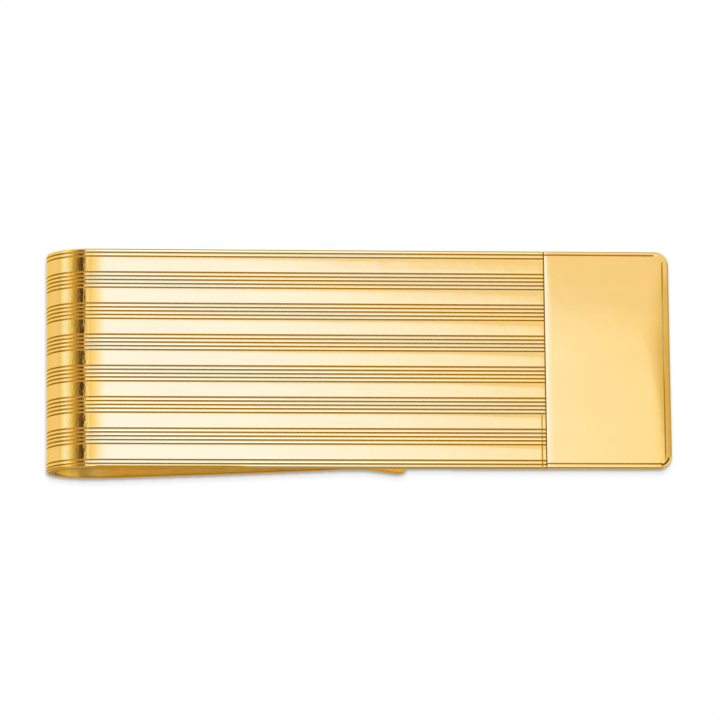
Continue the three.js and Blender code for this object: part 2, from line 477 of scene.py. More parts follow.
def noise(g, vector, along, across, detail, seed):
    """Noise over the strip; along and across are its scales per mm."""
    mapping = g.add("ShaderNodeMapping")
    g.links.new(vector, mapping.inputs["Vector"])
    mapping.inputs["Scale"].default_value = (along, across, 1.0)
    mapping.inputs["Location"].default_value = (seed, seed * 0.37, seed * 0.11)
    node = g.add("ShaderNodeTexNoise")
    node.inputs["Scale"].default_value = 1.0
    node.inputs["Detail"].default_value = detail
    g.links.new(mapping.outputs[0], node.inputs["Vector"])
    return node.outputs["Fac"]


def line_color(g, along, groove):
    """Painted shade at the bottom of the lines, by place along the strip."""
    bend = g.math(
        "MULTIPLY",
        g.smooth(along, low=47.6, high=48.2),
        g.smooth(along, low=50.1, high=49.4),
    )
    line = g.mix(bend, rgba(LINE_GOLD), rgba(FOLD_LINE_GOLD))
    line = g.mix(g.smooth(along, low=49.7, high=50.7), line, rgba(TURN_LINE_GOLD))
    return g.mix(g.smooth(groove, low=1.15, high=1.7), line, rgba(DARK_LINE_GOLD))


def gold_material(
    name,
    tint,
    roughness,
    streak,
    blotch=0.06,
    ripple=0.0,
    fold_ripple=0.0,
    lines=True,
    painted_light_along=(),
    flank_tone=FLANK_GOLD,
):
    """Gold plate: colour drift, fine drawing streaks along the strip, soft ripples,
    and rougher gold down in the rolled lines, with darker colour there as painted shade."""
    material = bpy.data.materials.new(name)
    material.use_nodes = True
    g = Graph(material.node_tree)
    shader = g.nodes["Principled BSDF"]
    strip = g.add("ShaderNodeAttribute", attribute_name="strip").outputs["Vector"]
    along, across, groove = g.split(strip)
    combine = g.add("ShaderNodeCombineXYZ")
    g.links.new(along, combine.inputs[0])
    g.links.new(across, combine.inputs[1])
    flat = combine.outputs[0]

    fine = noise(g, flat, along=0.30, across=19.0, detail=4.0, seed=3.1)
    drift = noise(g, flat, along=0.12, across=0.35, detail=3.0, seed=9.7)
    base = toned(GOLD, tint)
    darker = toned(base, [1 - blotch] * 3)
    color = g.mix(g.smooth(drift, low=0.3, high=0.7), rgba(base), rgba(darker))
    # tones by place along the strip: painted light and shade
    for start, stop, tone in painted_light_along:
        color = g.mix(g.smooth(along, start, stop), color, rgba(toned(GOLD, tone)))
    # the streaks vary the roughness by a fifth either way
    rough = g.math("MULTIPLY_ADD", fine, roughness * 0.4, roughness * 0.8)
    if lines:
        depth = g.smooth(groove, low=0.12, high=0.75)
        flank = g.smooth(groove, low=0.01, high=0.2)
        color = g.mix(flank, color, rgba(flank_tone))
        # down in the lines the darker colour is painted shade
        color = g.mix(depth, color, line_color(g, along, groove))
        rough = g.math("MULTIPLY_ADD", depth, LINE_ROUGHNESS, rough)
    g.links.new(color, shader.inputs["Base Color"])
    g.links.new(rough, shader.inputs["Roughness"])
    shader.inputs["Metallic"].default_value = 1.0
    shader.inputs["Specular Tint"].default_value = rgba(EDGE_TINT)

    height = g.math("MULTIPLY", fine, streak)
    if ripple:
        soft = noise(g, flat, along=0.9, across=0.7, detail=2.0, seed=5.3)
        height = g.math("MULTIPLY_ADD", soft, ripple, height)
    if fold_ripple:
        # the bend stretches the face into a fine orange-peel texture
        peel = noise(g, flat, along=5.5, across=2.4, detail=2.0, seed=7.9)
        near = g.math(
            "MULTIPLY",
            g.smooth(along, low=47.65, high=47.95),
            g.smooth(along, low=51.2, high=50.2),
        )
        peel = g.math("MULTIPLY", peel, near)
        height = g.math("MULTIPLY_ADD", peel, fold_ripple, height)
    bump = g.add("ShaderNodeBump")
    bump.inputs["Strength"].default_value = 1.0
    bump.inputs["Distance"].default_value = BUMP_DISTANCE
    g.links.new(height, bump.inputs["Height"])
    g.links.new(bump.outputs[0], shader.inputs["Normal"])
    return material


# tones along the strip, painted light and shade: s where the change starts, s where it is
# complete, tone
STRIP_GOLDS = [
    gold_material(
        "gold_lined_face",
        tint=(1, 1, 1),
        roughness=0.06,
        streak=0.02,
        ripple=0.25,
        fold_ripple=1.3,
        blotch=0.03,
    ),
    # the strip's edge faces are tinted dark as painted shade, darker still round the fold
    # and lighter further on
    gold_material(
        "gold_strip_edge_painted_shade",
        tint=(0.36, 0.23, 0.07),
        roughness=0.30,
        streak=0.5,
        lines=False,
        painted_light_along=((48.2, 49.8, (0.24, 0.15, 0.04)), (53.8, 56.5, (0.82, 0.62, 0.26))),
    ),
    # the inner face is a deeper gold as painted shade and painted reflection of gold in
    # gold, lighter and darker in stretches along the strip as painted light and shade
    gold_material(
        "gold_inner_face_painted_shade",
        tint=(1.0, 0.90, 0.44),
        roughness=0.30,
        streak=1.2,
        lines=False,
        blotch=0.2,
        painted_light_along=(
            (51.0, 53.0, (0.97, 1.02, 0.66)),
            (55.8, 57.0, (0.80, 0.72, 0.34)),
            (58.2, 59.4, (1.13, 0.90, 0.33)),
            (62.0, 65.0, (1.0, 0.90, 0.44)),
        ),
    ),
]
PLATE_GOLD = gold_material(
    "gold_plate_mirror",
    tint=(1, 1, 1),
    roughness=0.05,
    streak=0.012,
    ripple=0.12,
    blotch=0.03,
    flank_tone=(0.87, 0.53, 0.11),
)


# ---------------------------------------------------------------- mesh helpers
def new_mesh(name, points, faces, materials):
    mesh = bpy.data.meshes.new(name)
    mesh.from_pydata(points, [], faces)
    mesh.update()
    for material in materials:
        mesh.materials.append(material)
    return mesh


def link_object(name, data):
    obj = bpy.data.objects.new(name, data)
    bpy.context.scene.collection.objects.link(obj)
    return obj


def finish_gold(mesh, attributes):
    """Smooth shading, and the (s, y, groove) values that the gold reads."""
    mesh.polygons.foreach_set("use_smooth", [True] * len(mesh.polygons))
    strip = mesh.attributes.new("strip", "FLOAT_VECTOR", "POINT")
    strip.data.foreach_set("vector", attributes.astype(np.float32).ravel())


def unit(v):
    return v / (np.linalg.norm(v, axis=-1, keepdims=True) + 1e-12)


def grid_normals(points):
    """Vertex normals of rings points[i, j], closed in j, open in i."""

    def slope(a, b, c):
        d1, d2 = b - a, c - b
        l1 = np.linalg.norm(d1, axis=-1, keepdims=True) + 1e-12
        l2 = np.linalg.norm(d2, axis=-1, keepdims=True) + 1e-12
        return (d1 / l1 * l2 + d2 / l2 * l1) / (l1 + l2)

    around = slope(np.roll(points, 1, axis=1), points, np.roll(points, -1, axis=1))
    along = np.empty_like(points)
    along[1:-1] = slope(points[:-2], points[1:-1], points[2:])
    along[0] = points[1] - points[0]
    along[-1] = points[-1] - points[-2]
    return unit(np.cross(around, along))


def sweep(stations, ring_at):
    """Points, attribute values and normals of the rings at the stations."""
    points, attributes = (np.array(v) for v in zip(*map(ring_at, stations)))
    return points, attributes, grid_normals(points)


def swept_piece(name, rings, step_row=None):
    """A closed mesh from consecutive rings, with an n-gon at each end.
    The faces after step_row are a flat step between two sections."""
    points, attributes, ring_normals = rings
    rows, cols = points.shape[:2]
    faces, normals, slots = [], [], []
    for i in range(rows - 1):
        for j in range(cols):
            k = (j + 1) % cols
            near, far = i * cols, (i + 1) * cols
            faces.append((near + j, near + k, far + k, far + j))
            if i == step_row:
                u, v = points[i, k] - points[i, j], points[i + 1, j] - points[i, j]
                normals += [unit(np.cross(u, v))] * 4
                slots.append(EDGE)
            else:
                corners = ((i, j), (i, k), (i + 1, k), (i + 1, j))
                normals += [ring_normals[c] for c in corners]
                slots.append(FACE_MATERIAL[j])
    last = (rows - 1) * cols
    start_cap = tuple(reversed(range(cols)))
    end_cap = tuple(last + j for j in range(cols))
    for cap, row, inner_row in ((start_cap, 0, 1), (end_cap, -1, -2)):
        axis = unit(points[row].mean(0) - points[inner_row].mean(0))
        faces.append(cap)
        normals += [axis] * cols
        slots.append(EDGE)
    mesh = new_mesh(name, points.reshape(-1, 3).tolist(), faces, STRIP_GOLDS)
    mesh.polygons.foreach_set("material_index", slots)
    finish_gold(mesh, attributes)
    mesh.normals_split_custom_set([tuple(n) for n in normals])
    return link_object(name, mesh)


# ---------------------------------------------------------------- stations
EASE_X = 6.6  # closer rings from here to where the front leaf's piece ends
BREAK_X = 5.6
SEAM_S = s_of_x(SEAM_X)
HEEL_CUT = s_of_heading(179.0) + 1.45
# where the strip is cut into pieces, and the hinge within each piece of the fold
CUTS = [s_of_x(BREAK_X)] + [s_of_heading(d) for d in (22.5, 67.5, 112.5, 157.5)]
CUTS.append(HEEL_CUT)
HINGES = [s_of_x(3.5)] + [s_of_heading(d) for d in (45, 90, 135, 179.0)]


def corner_places(radius, step):
    """Distances from an end that follow its rounded corners, by degrees."""
    return [radius * (1 - math.cos(math.radians(t))) for t in range(0, 91, step)]


tongue_stations = thinned(
    corner_places(END_R, 10)
    + [0.004, 0.012, 0.025, 0.042, 0.06]
    + spaced(END_R, SEAM_S, 1.2)
)
SEAM_OFFSETS = (0.0, 0.008, 0.018, 0.03, 0.05, 0.08, 0.12, 0.16, 0.2, 0.24)
SEAM_OFFSETS += (0.45, 0.5, 0.55, 0.62)
MARK_OFFSETS = (-0.07, -0.05, -0.038, -0.02, 0, 0.02, 0.038, 0.05, 0.07)
stations = [SEAM_S + d for d in SEAM_OFFSETS]
stations += [s_of_x(MARK_X + d) for d in MARK_OFFSETS]
stations += spaced(s_of_x(MARK_X - 0.5), s_of_x(EASE_X), 1.3)
stations += spaced(s_of_x(EASE_X), s_of_x(BREAK_X), 0.25)
for a, b in zip(CUTS[:-1], CUTS[1:]):
    stations += spaced(a, b, 0.105)
stations += spaced(HEEL_CUT, RUN_START["belly"], 0.2)
stations += spaced(RUN_START["belly"], RUN_START["pinch"] - 0.8, 0.9)
stations += spaced(RUN_START["pinch"] - 0.8, RUN_START["lip"] + 0.8, 0.09)
stations += spaced(RUN_START["lip"] + 0.8, END_S - TIP_R, 0.4)
stations += [END_S - d for d in corner_places(TIP_R, 9)]
stations += [END_S - d for d in (0.006, 0.02, 0.04, 0.065, 0.09, 0.12)]
stations = np.array(thinned(stations))

strip_rings = sweep(stations, strip_ring)
tongue_rings = sweep(tongue_stations, tongue_ring)


def strip_part(first_s, last_s):
    """The strip's rings from one place to another."""
    first, last = (int(np.argmin(np.abs(stations - s))) for s in (first_s, last_s))
    return [values[first : last + 1] for values in strip_rings]


# ---------------------------------------------------------------- strip pieces
# front leaf: the thinned tongue under the plate, a step, then the lined face
front = swept_piece(
    "front_leaf_lined",
    [np.concatenate(pair) for pair in zip(tongue_rings, strip_part(SEAM_S, CUTS[0]))],
    step_row=len(tongue_stations) - 1,
)
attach(front, "front_leaf")
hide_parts("front_leaf")

BODIES = [
    "front_leaf",
    "fold_shoulder",
    "fold_crown_upper",
    "fold_crown_lower",
    "fold_heel",
    "back_leaf",
]
FOLD_NAMES = [
    "fold_shoulder_skin",
    "fold_crown_upper_skin",
    "fold_crown_lower_skin",
    "fold_heel_skin",
    "heel_curve_skin",
]


for n, (name, hinge) in enumerate(zip(FOLD_NAMES, HINGES)):
    piece = swept_piece(name, strip_part(CUTS[n], CUTS[n + 1]))
    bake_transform(piece)
    if BODIES[n + 1] != "back_leaf":
        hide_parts(BODIES[n + 1])

back = swept_piece("back_leaf_strip", strip_part(HEEL_CUT, END_S))
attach(back, "back_leaf")
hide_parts("back_leaf")

# ---------------------------------------------------------------- plate
PLATE_X = SEAM_X + 0.05  # the plate's edge at the seam
BORDER_X = 50.52  # scribed border across the free end
BORDER_Y = HALF_WIDTH - PITCH  # along the far edge
BORDER_NEAR = HALF_WIDTH - 0.38  # and along the near edge
BORDER_CUT = 0.8  # depth of the border as a share of a rolled line's
# sampling distances from a border line, from the outline, and on from the seam
LINE_PLACES = (0, 0.016, 0.03, 0.041, 0.05, 0.057, 0.0615, 0.068, 0.085, 0.11, 0.14)
RIM_PLACES = (0, 0.003, 0.01, 0.02, 0.034, 0.052, 0.075, 0.1, 0.13, 0.16, 0.2)
SEAM_PLACES = (0.24, 0.28, 0.33, 0.38, 0.44, 0.5, 0.56, 0.62)
# where the plain field starts to fall away: y, x
FALL_START = (
    (-3.5, 49.4), (-1.6, 49.26), (0.0, 49.12), (1.2, 48.98),
    (2.4, 48.82), (3.2, 48.86), (4.0, 48.98), (5.7, 49.18),
)
FALL_END = 50.6  # x where the fall reaches its full slope


def plate_places():
    """Sampling places along x and y."""

    def both_sides(center):
        return [center + side * d for d in LINE_PLACES for side in (1, -1)]

    xs = [PLATE_X + d for d in RIM_PLACES + SEAM_PLACES]
    xs += both_sides(BORDER_X)
    xs += [LENGTH - d for d in RIM_PLACES]
    xs += [LENGTH - d for d in corner_places(END_R, 6)]
    xs += spaced(PLATE_X + 0.6, LENGTH - END_R, 0.25)
    ys = both_sides(BORDER_Y) + both_sides(-BORDER_NEAR)
    ys += [side * (HALF_WIDTH - d) for d in RIM_PLACES for side in (1, -1)]
    ys += spaced(-8.4, 8.4, 0.3)
    return [np.array(thinned(places, gap=0.0025)) for places in (xs, ys)]


def plate_surface():
    """Grids of x, y, top and bottom height, and dullness with painted shade."""
    xs, ys = plate_places()
    x = xs[:, None] * np.ones(len(ys))
    squeeze = (corner_half_width(LENGTH - xs, END_R) / HALF_WIDTH)[:, None]
    y = ys[None, :] * squeeze
    across = np.abs(y)
    # distances to the plate's outline and to the seam
    corner_x, corner_y = LENGTH - END_R, HALF_WIDTH - END_R
    in_corner = (x > corner_x) & (across > corner_y)
    to_corner = END_R - np.hypot(x - corner_x, across - corner_y)
    to_side = np.minimum(HALF_WIDTH - across, LENGTH - x)
    outline = np.clip(np.where(in_corner, to_corner, to_side), 0, None)
    seam = np.clip(x - PLATE_X, 0, None)

    top = PLATE_TOP - rounding(outline, 0.12) - rounding(seam, 0.018)
    # gentle roll to the seam, quicker at the last
    top -= 0.017 * np.clip(0.60 - seam, 0, None) ** 2
    top -= 0.06 * np.clip(0.26 - seam, 0, None) ** 2
    dull_and_shade = np.zeros_like(x)
    # scribed border, stopping short of the free corners
    far_run = 1 - smooth(LENGTH - 1.6, LENGTH - 0.8, x)
    near_run = 1 - smooth(LENGTH - 0.95, LENGTH - 0.7, x)
    run_x = np.where(y > 0, far_run, near_run)
    run_y = 1 - smooth(HALF_WIDTH - 0.95, HALF_WIDTH - 0.65, across)
    for line_y, extra in ((BORDER_Y, 0.0), (-BORDER_NEAR, 0.4)):
        cut = line_shape(y - line_y * squeeze, 0.068) * run_x
        top -= BORDER_CUT * cut * run_x
        # the border lines' dark colour is painted shade, darker still on the near line
        # towards the free end
        darker = 1 + extra * smooth(47.0, 49.8, x)
        dull_and_shade = np.maximum(dull_and_shade, darker * cut / LINE_DEPTH)
    # at the near corner a dark band is painted round the bend, close to the rim, as a
    # painted reflection
    past_corner = np.clip(x - corner_x, 1e-6, None)
    bend = np.degrees(np.arctan2(across - corner_y, past_corner))
    turn = in_corner * (y < 0) * smooth(6, 22, bend) * (1 - smooth(70, 84, bend))
    cut = line_shape(outline - 0.25, 0.11) * turn
    dull_and_shade = np.maximum(dull_and_shade, 2.0 * cut / LINE_DEPTH)
    # the near rim has painted shade and dullness like the strip's
    near_rim = np.clip((0.16 - (HALF_WIDTH + y)) / 0.05, 0, 1) * (x < corner_x + 0.4)
    dull_and_shade = np.maximum(dull_and_shade, 0.5 * near_rim)
    # the border across the end is worn faint over its middle
    worn = 0.48 + 0.42 * smooth(1.0, 5.0, np.abs(y - 2.2))
    cut = line_shape(x - BORDER_X, 0.062) * run_y * worn
    top -= BORDER_CUT * cut * run_y
    # the end border's dark colour is painted shade too
    dull_and_shade = np.maximum(dull_and_shade, cut / LINE_DEPTH)
    # the very edge of the seam is dull too, and painted dark as shade in the seam
    dull_and_shade = np.maximum(dull_and_shade, np.clip(1.2 - seam / 0.022, 0, 1))
    # the plain field falls away a little towards the free end
    start = np.interp(y, *zip(*FALL_START))
    slope = 0.0355 - 0.0105 * smooth(0.5, 4.5, y)
    slope *= 1 - 0.5 * smooth(5.5, 8.0, y)
    top -= slope * np.clip(x - start, 0, None) ** 2 / (2 * (FALL_END - start))
    bottom = PLATE_TOP - PLATE_THICK + rounding(outline, 0.03)
    return x, y, top, bottom, dull_and_shade


def plate():
    x, y, top, bottom, dull_and_shade = plate_surface()
    layers = [np.stack([x, y, z], -1).reshape(-1, 3) for z in (top, bottom)]
    verts = np.concatenate(layers)
    nx, ny = x.shape
    n = nx * ny
    faces = []
    for i in range(nx - 1):
        for j in range(ny - 1):
            a, b = i * ny + j, (i + 1) * ny + j
            faces.append((a, b, b + 1, a + 1))
            faces.append((n + a, n + a + 1, n + b + 1, n + b))
    rim_loop = (
        [i * ny for i in range(nx)]
        + [(nx - 1) * ny + j for j in range(1, ny)]
        + [i * ny + ny - 1 for i in range(nx - 2, -1, -1)]
        + [j for j in range(ny - 2, 0, -1)]
    )
    for a, b in zip(rim_loop, rim_loop[1:] + rim_loop[:1]):
        faces.append((b, a, n + a, n + b))
    name = "engraving_plate_panel"
    mesh = new_mesh(name, to_row(verts).tolist(), faces, [PLATE_GOLD])
    grooves = np.concatenate([dull_and_shade.reshape(-1), np.zeros(n)])
    finish_gold(mesh, np.stack([LENGTH - verts[:, 0], verts[:, 1], grooves], -1))
    mesh.set_sharp_from_angle(angle=math.radians(50))
    return link_object(name, mesh)


panel = plate()
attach(panel, "front_leaf")
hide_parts("engraving_plate")

# ---------------------------------------------------------------- table
# White table. Seen from straight above it is the lit sweep of a light table,
# with a narrow drop shadow; seen from the side it is an ordinary matt table.
TABLE_Z = -0.00006  # metres
SHADOW_Z = -0.00002  # the shadow patch lies just over the table
LIT_WHITE = (1.02, 1.02, 1.02, 1)
MIRRORED_SHADED = (0.80, 0.76, 0.64, 1)  # in the metal: beside the strip
MIRRORED_OPEN = (1.05, 1.07, 1.15, 1)  # and beyond the folded end


def table_graph(name):
    """A new material, its graph and its output socket."""
    material = bpy.data.materials.new(name)
    material.use_nodes = True
    g = Graph(material.node_tree)
    out = next(n for n in g.nodes if n.type == "OUTPUT_MATERIAL")
    return material, g, out.inputs["Surface"]


def seen_from_above(g):
    """The light path node, and a factor of 1 for camera rays from overhead."""
    path = g.add("ShaderNodeLightPath")
    view = g.split(g.add("ShaderNodeNewGeometry").outputs["Incoming"])
    overhead = g.smooth(view[2], low=0.88, high=0.96)
    return path, g.math("MULTIPLY", overhead, path.outputs["Is Camera Ray"])


def table_material():
    material, g, surface = table_graph("white_table")
    matt = g.nodes["Principled BSDF"]
    matt.inputs["Base Color"].default_value = (0.92, 0.92, 0.925, 1)
    matt.inputs["Roughness"].default_value = 1.0
    matt.inputs["Specular IOR Level"].default_value = 0.0
    lit = g.add("ShaderNodeEmission")
    lit.inputs[0].default_value = LIT_WHITE
    mirrored = g.add("ShaderNodeEmission")
    spot = g.split(g.add("ShaderNodeNewGeometry").outputs["Position"])
    beyond_fold = g.smooth(spot[0], low=-0.0246, high=-0.0270)
    tone = g.mix(beyond_fold, MIRRORED_SHADED, MIRRORED_OPEN)
    g.links.new(tone, mirrored.inputs[0])
    path, above = seen_from_above(g)
    direct = g.mix_shader(above, matt.outputs[0], lit.outputs[0])
    glossy = path.outputs["Is Glossy Ray"]
    g.links.new(g.mix_shader(glossy, direct, mirrored.outputs[0]), surface)
    return material


def shadow_material():
    """The shadow's tone, there only for the view from above."""
    material, g, surface = table_graph("white_table_shaded")
    lit = g.add("ShaderNodeEmission")
    shade = g.add("ShaderNodeAttribute", attribute_name="shade").outputs["Fac"]
    g.links.new(g.mix(shade, (0.0, 0.0, 0.0, 1), LIT_WHITE), lit.inputs[0])
    _, above = seen_from_above(g)
    clear = g.add("ShaderNodeBsdfTransparent")
    g.links.new(g.mix_shader(above, clear.outputs[0], lit.outputs[0]), surface)
    return material


table = link_object(
    "table",
    new_mesh(
        "table",
        [(-3, -3, 0), (3, -3, 0), (3, 3, 0), (-3, 3, 0)],
        [(0, 1, 2, 3)],
        [table_material()],
    ),
)
table.location = (0, 0, TABLE_Z)


# ---------------------------------------------------------------- view
def rotation(about_x, about_y, about_z):
    """Turns about y, then x, then z, in degrees."""
    (ca, sa), (cb, sb), (cc, sc) = (
        (math.cos(math.radians(t)), math.sin(math.radians(t)))
        for t in (about_x, about_y, about_z)
    )
    rx = np.array([[1, 0, 0], [0, ca, -sa], [0, sa, ca]])
    ry = np.array([[cb, 0, sb], [0, 1, 0], [-sb, 0, cb]])
    rz = np.array([[cc, -sc, 0], [sc, cc, 0], [0, 0, 1]])
    return rz @ rx @ ry


VIEW_DISTANCE = 391.8  # mm from the camera to the aim point
VIEW_SHIFT = 0.120  # the aim point's height in the camera's frame
VIEW_ORIGIN_X = 25.46  # strip x of the aim point
VIEW_TURN = rotation(about_x=-9.18, about_y=5.42, about_z=0.61)
AIM = np.array([0.0, VIEW_SHIFT, -VIEW_DISTANCE])
CAMERA_PLACE = to_row(-VIEW_TURN.T @ AIM + np.array([VIEW_ORIGIN_X, 0, 0]))
CAMERA_TURN = TURN @ VIEW_TURN.T

# ---------------------------------------------------------------- drop shadow
# Worked out in millimetres right of and down from the view's centre line, on the
# plane that faces the camera at VIEW_DISTANCE.
CELL = 0.0408125  # side of a cell of the shadow image
IMAGE_RIGHT = -26.12 + CELL * np.arange(1300)  # its columns
IMAGE_DOWN = -10.61125 + CELL * np.arange(560)  # its rows
# runs of the patch's grid lines: first, step, count
PATCH_RIGHT = ((-26.12, 0.0571375, 18), (-25.1405, 0.244875, 202), (24.32425, 0.0571375, 38))
PATCH_DOWN = ((-9.95825, 0.081625, 18), (-8.489, 0.653, 25), (7.836, 0.0571375, 63))
# layers of the shadow: strength, spread, shift right, shift down
SHADOW_LAYERS = ((0.25, 0.0734625, 0.0, 0.1550875), (0.092, 0.1959, 0.048975, 0.4815875))
SHADOW_GAMMA = 2.2
FILL_REACH = 9  # cells by which gaps between columns are closed


def in_view(points):
    """Where row-frame points are seen: right and down."""
    q = (points - CAMERA_PLACE) @ CAMERA_TURN
    scale = VIEW_DISTANCE / -q[..., 2]
    return scale * q[..., 0], -scale * q[..., 1]


def under_view(right, down, z):
    """The points at height z that are seen at right, down."""
    ray = np.stack([right, -down, np.full_like(right, -VIEW_DISTANCE)], -1)
    ray = ray @ CAMERA_TURN.T
    t = (z - CAMERA_PLACE[2]) / ray[..., 2]
    return CAMERA_PLACE + ray * t[..., None]


def silhouette():
    """The strip's outline in the view: its upper and lower limit by column."""
    upper = np.full(len(IMAGE_RIGHT), np.inf)
    lower = np.full(len(IMAGE_RIGHT), -np.inf)
    rings = np.concatenate([tongue_rings[0], strip_rings[0]])
    parts = 10  # places looked at between one ring and the next
    for a, b in zip(rings[:-1], rings[1:]):
        for k in range(parts + 1):
            right, down = in_view(a + (b - a) * (k / parts))
            column = ((right - IMAGE_RIGHT[0]) / CELL).astype(int)
            column = np.clip(column, 0, len(IMAGE_RIGHT) - 1)
            np.minimum.at(upper, column, down)
            np.maximum.at(lower, column, down)
    seen = np.isfinite(upper)

    def filled(limit, outside):
        known = IMAGE_RIGHT[seen], limit[seen]
        return np.interp(IMAGE_RIGHT, *known, left=outside, right=outside)

    return filled(upper, np.inf), filled(lower, -np.inf)


def blurred(image, spread, right, down):
    """The image softened and shifted."""
    r = int(4 * spread / CELL)
    bell = np.exp(-0.5 * (np.arange(-r, r + 1) * CELL / spread) ** 2)
    bell /= bell.sum()
    for axis in (0, 1):
        image = np.apply_along_axis(np.convolve, axis, image, bell, mode="same")
    return np.roll(image, (int(round(down / CELL)), int(round(right / CELL))), (0, 1))


def shadow_tone():
    """Brightness of the shadow image, by row and column."""
    upper, lower = silhouette()
    down = IMAGE_DOWN[:, None]
    mask = ((down >= upper) & (down <= lower)).astype(float)
    # grown and shrunk again along the row, which fills columns with few samples
    for pick in (np.max, np.min):
        wide = np.pad(mask, ((0, 0), (FILL_REACH, FILL_REACH)))
        shifts = range(2 * FILL_REACH + 1)
        mask = pick([wide[:, k : k + mask.shape[1]] for k in shifts], axis=0)
    dark = sum(
        strength * blurred(mask, spread, right, down)
        for strength, spread, right, down in SHADOW_LAYERS
    )
    return np.clip(1 - dark, 0, 1) ** SHADOW_GAMMA


def drop_shadow():
    """A flat patch just over the table that carries the narrow shadow's tone."""
    tone = shadow_tone()
    right, down = np.meshgrid(
        *(
            np.concatenate([first + step * np.arange(count) for first, step, count in runs])
            for runs in (PATCH_RIGHT, PATCH_DOWN)
        ),
        indexing="ij",
    )
    row = np.clip((down - IMAGE_DOWN[0]) / CELL, 0, len(IMAGE_DOWN) - 1.001)
    column = np.clip((right - IMAGE_RIGHT[0]) / CELL, 0, len(IMAGE_RIGHT) - 1.001)
    i, j = row.astype(int), column.astype(int)
    a, b = row - i, column - j
    shade = (
        tone[i, j] * (1 - a) * (1 - b)
        + tone[i + 1, j] * a * (1 - b)
        + tone[i, j + 1] * (1 - a) * b
        + tone[i + 1, j + 1] * a * b
    )
    shade[0], shade[-1], shade[:, 0], shade[:, -1] = 1, 1, 1, 1
    points = under_view(right, down, SHADOW_Z)
    rows, cols = right.shape
    faces = [
        (i * cols + j, i * cols + j + 1, (i + 1) * cols + j + 1, (i + 1) * cols + j)
        for i in range(rows - 1)
        for j in range(cols - 1)
    ]
    points = points.reshape(-1, 3).tolist()
    mesh = new_mesh("table_shadow", points, faces, [shadow_material()])
    attribute = mesh.attributes.new("shade", "FLOAT", "POINT")
    attribute.data.foreach_set("value", shade.astype(np.float32).ravel())
    return link_object("table_shadow", mesh)


drop_shadow()

# ---------------------------------------------------------------- sky
# The tent seen in the metal, by direction in degrees: lean_x from straight up
# towards the folded end (-X), lean_y towards +Y. Each field is a table of
# lean_x and linear RGB.
MAIN_FIELD = (
    (-90, (0.75, 0.78, 0.8)), (-45, (0.80, 0.80, 0.70)), (-24, (0.82, 0.80, 0.65)),
    (-20, (0.93, 0.95, 0.95)), (-18.6, (1.09, 1.18, 1.45)), (-16.5, (1.12, 1.25, 1.70)),
    (-14.8, (1.126, 1.29, 1.95)), (-14.1, (1.136, 1.33, 2.17)), (-13.4, (1.11, 1.39, 2.72)),
    (-12.7, (1.12, 1.46, 3.3)), (-12.0, (1.116, 1.496, 3.5)), (-11.2, (1.12, 1.57, 4.15)),
    (-10.2, (1.126, 1.614, 4.62)), (-8.0, (1.126, 1.63, 4.75)), (-7.1, (1.12, 1.49, 3.45)),
    (-6.0, (1.116, 1.365, 2.35)), (-5.1, (1.126, 1.26, 1.57)), (-3.0, (1.09, 1.12, 1.10)),
    (-0.5, (0.92, 0.875, 0.68)), (3.6, (0.87, 0.84, 0.72)), (7.5, (0.75, 0.71, 0.60)),
    (9.3, (0.22, 0.19, 0.14)), (11.2, (0.085, 0.065, 0.038)), (14.6, (0.078, 0.056, 0.030)),
    (17.3, (0.108, 0.081, 0.048)), (20.0, (0.16, 0.122, 0.078)),
    (22.7, (0.225, 0.178, 0.114)), (25.6, (0.32, 0.252, 0.15)),
)
# a ramp holds at most 32 stops, so the folded-end side has its own
SIDE_FIELD = (
    (25.6, (0.32, 0.252, 0.15)), (31.0, (0.47, 0.40, 0.195)), (36.8, (0.627, 0.556, 0.235)),
    (42.5, (0.81, 0.80, 0.56)), (48.4, (1.0, 1.10, 1.07)), (54.6, (1.03, 1.235, 1.63)),
    (60.9, (1.075, 1.395, 2.44)), (67.5, (1.07, 1.36, 2.37)), (74, (1.057, 1.22, 1.67)),
    (79, (0.97, 0.99, 0.95)), (84, (0.96, 0.96, 0.88)), (89, (1.0, 0.98, 0.92)),
    (97, (1.0, 0.99, 0.94)), (110, (0.85, 0.84, 0.83)),
)
# the dimmer field beyond the light's slanted edge
DIM_FIELD = (
    (-90, (0.6, 0.6, 0.6)), (-40, (0.62, 0.54, 0.33)), (-24, (0.66, 0.58, 0.35)),
    (-20.6, (0.68, 0.62, 0.39)), (-19.2, (0.80, 0.80, 0.64)), (-18.4, (0.79, 0.77, 0.62)),
    (-17.7, (0.88, 0.88, 0.82)), (-17.1, (0.94, 0.97, 1.0)), (-16.1, (1.02, 1.065, 1.23)),
    (-15, (1.03, 1.08, 1.37)), (-12, (1.03, 1.09, 1.38)), (-8, (1.03, 1.09, 1.38)),
)
# to either side in lean_y, seen only by the lines' rounded flanks and tilted faces
WIDE_FIELD = (
    (-90, (0.8, 0.82, 0.85)), (-60, (1.0, 1.08, 1.3)), (-30, (1.1, 1.4, 2.6)),
    (-18, (1.05, 1.25, 1.9)), (-16, (1.12, 1.5, 2.8)), (-13.6, (1.18, 1.75, 3.9)),
    (-12.2, (1.2, 2.05, 5.6)), (-10.5, (1.2, 2.3, 7.0)), (-5, (1.2, 2.3, 7.2)),
    (4, (1.3, 1.9, 3.6)), (14, (1.35, 1.5, 1.9)), (26, (1.3, 1.4, 1.5)),
    (40, (1.2, 1.35, 1.8)), (55, (1.15, 1.5, 2.8)), (75, (1.05, 1.2, 1.6)),
    (110, (0.85, 0.85, 0.85)),
)
